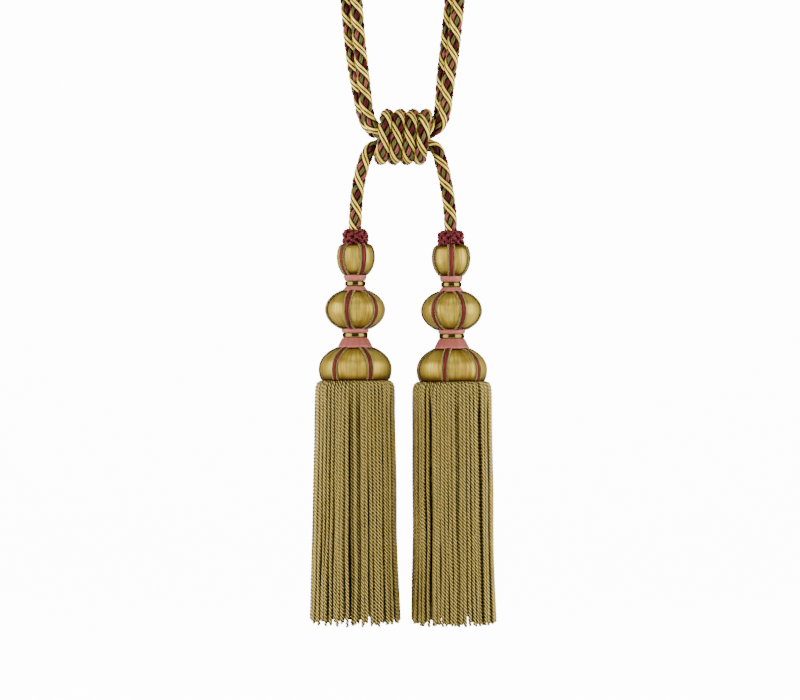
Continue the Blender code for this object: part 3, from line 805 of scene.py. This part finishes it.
skirt = {"flare": [(20.5, -1.2), (24.0, -1.2), (26.5, -1.6), (28.0, -3.4), (28.7, -6.5), (29.1, -14.0),
                   (29.5, -40.0), (30.3, -74.0), (30.9, -119.0), (31.8, -145.0), (33.1, -181.0)],
         "head": [(0.5, -0.5), (22.0, -0.5), (24.5, -2.4), (22.5, -4.5), (0.5, -4.5)], "headSteps": 48,
         "headShade": 0.9, "cords": 66, "rows": 22, "radius": 1.37, "pitch": 8.0, "ringsPerTurn": 9,
         "sunkShare": 0.07, "sink": 2.6, "filler": 1.3, "uneven": 0.7, "jitter": 0.12, "sunkShade": 0.25,
         "ragged": 2.4, "settle": (8, 90), "insetReach": 28, "wander": 0.3, "wanderSpan": (19, 13),
         "sway": 0.45, "swayReach": 50, "swayHigh": 0.45, "neckThin": (0.12, 3.0), "tipThin": (0.3, 1.2),
         "neckShade": (0.4, 2.0), "sideShade": (0.6, 0.7, 0.95), "frontEdge": 0.15,
         "waves": 6, "waveSizes": (0.5, 1.0), "waveCounts": (3, 17), "waveSpans": (40, 160),
         "innerJitter": 0.2, "guideStep": 0.5}
# the rows behind: inset and step in mm, how much painted shade, and how much shorter
skirtRows = [{"cords": 36, "inset": 4.2, "step": 1.6, "radius": 1.37, "dark": 0.45, "short": 0},
             # the deepest row: thick cords painted almost black, standing for the shade inside the skirt
             {"cords": 34, "inset": 8.5, "step": 12.0, "radius": 3.9, "dark": 0.95, "short": 1.5}]
skirtGuide = smoothPath([(r, 0, z) for r, z in skirt["flare"]], skirt["guideStep"])
skirtRun = runLength(skirtGuide)


def swayAt(waves, angle, height):
    # neighbouring cords drift together, so some crowd and some part
    return sum(size * np.sin(count * angle + height / span + start) for size, count, span, start in waves)


def smoothStep(share):
    return share * share * (3 - 2 * share)


def bullionCord(spec, chance, waves, step, angles, inset, radius, dark, short=0.0):
    length = skirtRun[-1] + chance.uniform(-1.0, 0.5) * skirt["ragged"] - short
    at = np.linspace(0, length, round(length / step))
    height = np.interp(at, skirtRun, skirtGuide[:, 2]) - np.maximum(at - skirtRun[-1], 0)
    share = np.clip(at / skirtRun[-1], 0, 1)
    free = smoothStep(share)
    settleFrom, settleOver = skirt["settle"]
    settle = smoothStep(np.clip((at - settleFrom) / settleOver, 0, 1))
    start = chance.uniform(*anyPhase)
    inAndOut, toAndFro = (skirt["wander"] * free * np.sin(at / span + start) for span in skirt["wanderSpan"])
    reach = np.interp(at, skirtRun, skirtGuide[:, 0]) - inset * np.clip(at / skirt["insetReach"], 0, 1)
    reach = (reach + inAndOut) * np.interp(share, (0, 1), spec["skirtScale"])
    bearing = angles[0] + (angles[1] - angles[0]) * settle
    hold = skirt["swayHigh"] + (1 - skirt["swayHigh"]) * free
    drift = skirt["sway"] * swayAt(waves, bearing, height) * np.clip(at / skirt["swayReach"], 0, 1) * hold
    bearing = bearing + (drift + toAndFro) / reach
    line = np.stack([reach * np.cos(bearing), reach * np.sin(bearing), height], 1)
    normal, across = carriedFrame(line)[1:]
    twist = start - 2 * math.pi * at / skirt["pitch"]
    neck, neckReach = skirt["neckThin"]
    tip, tipReach = skirt["tipThin"]
    thin = 1 - neck * np.exp(-at / neckReach) - tip * np.clip((at - length + tipReach) / tipReach, 0, 1) ** 2
    # painted shade near the head of each cord, and over the whole of a cord set deeper
    shade, shadeReach = skirt["neckShade"]
    paintedShade = np.clip(dark + shade * np.exp(-at / shadeReach), 0, 1)[:, None]
    rings = tubeRings(line, normal, across, twistedPly(radius * thin, twist))
    outward = np.stack([np.cos(bearing), np.sin(bearing), np.zeros_like(at)], 1)
    level = np.sum((rings - line[:, None]) * outward[:, None], axis=2) / radius
    start, span, deepest = skirt["sideShade"]  # the sides lie in the shade of the next cords
    sides = np.clip((start - level) / span, 0, 1)
    return rings, at, 0, 1 - (1 - paintedShade) * (1 - deepest * sides)


def skirtPlaces():
    # the cords stand evenly over the width of the front; the ring's two sides are filled from a deeper row
    across = np.linspace(-1, 1, skirt["rows"] + 1)
    outer = [-math.acos(x) for x in across] + [math.acos(x) for x in across[::-1][1:-1]]
    even = 2 * math.pi / skirt["cords"]
    places = []
    for angle, following in zip(outer, outer[1:] + [outer[0] + 2 * math.pi]):
        extra = round((following - angle) / even) - 1
        places.append((angle, False))
        places += [(angle + (following - angle) * (k + 1) / (extra + 1), True) for k in range(extra)]
    return places


def addSkirt(side, depth):
    spec = tassels[side]
    chance = random.Random(spec["seed"])
    waves = [(chance.uniform(*skirt["waveSizes"]), chance.randint(*skirt["waveCounts"]),
              chance.choice((-1, 1)) * chance.uniform(*skirt["waveSpans"]), chance.uniform(*anyPhase))
             for _ in range(skirt["waves"])]
    layers = {"Front": [], "Back": [], "Inner": []}
    step = skirt["pitch"] / skirt["ringsPerTurn"]
    jitter = 2 * math.pi / skirt["cords"] * skirt["jitter"]
    for angle, filling in skirtPlaces():
        hidden = chance.random() < skirt["sunkShare"] or filling
        inset = skirt["filler"] if filling else skirt["sink"] if hidden else skirt["uneven"] * chance.random()
        angles = (angle, angle + jitter * chance.uniform(-1, 1))
        made = bullionCord(spec, chance, waves, step, angles, inset, skirt["radius"],
                           skirt["sunkShade"] * hidden)
        layers["Front" if math.sin(angle) < skirt["frontEdge"] else "Back"].append(made)
    for row in skirtRows:
        for k in range(row["cords"]):
            shift = skirt["innerJitter"] * chance.uniform(-1, 1)
            angle = 2 * math.pi * (k + 0.5 + shift) / row["cords"]
            layers["Inner"].append(bullionCord(spec, chance, waves, row["step"], (angle, angle), row["inset"],
                                               row["radius"], row["dark"], row["short"]))
    # a ring at the head, painted almost black as the shade inside the top of the skirt
    head = softened(skirt["head"], 1) * [spec["skirtScale"][0], 1]
    rings = turnedRings(head, skirt["headSteps"])[:, ::-1]
    layers["Inner"].append((rings, runLength(head), 0, skirt["headShade"]))
    for layer, tubes in layers.items():
        for tube in tubes:
            tube[0][..., 2] += depth
        tubes = [(placed(rings, spec), *rest) for rings, *rest in tubes]
        finishPiece(addTubes(f"skirt{layer}{side}", tubes, ["bullion"]), "fringe", f"skirt_{side.lower()}")


for side in tassels:
    depth = -ruff["height"] - gap
    addRuff(side)
    for beadSize, spoolSize in (("Small", "Upper"), ("Medium", "Lower"), ("Large", None)):
        addBead(side, beadSize, depth)
        addRibs(side, beadSize, depth)
        depth -= beads[beadSize]["height"] + gap
        if spoolSize:
            addSpool(side, spoolSize, depth)
            addBand(side, spoolSize, depth)
            depth -= spools[spoolSize]["depth"] + gap
    addSkirt(side, depth + gap)
    print("tassel", side, "ready")
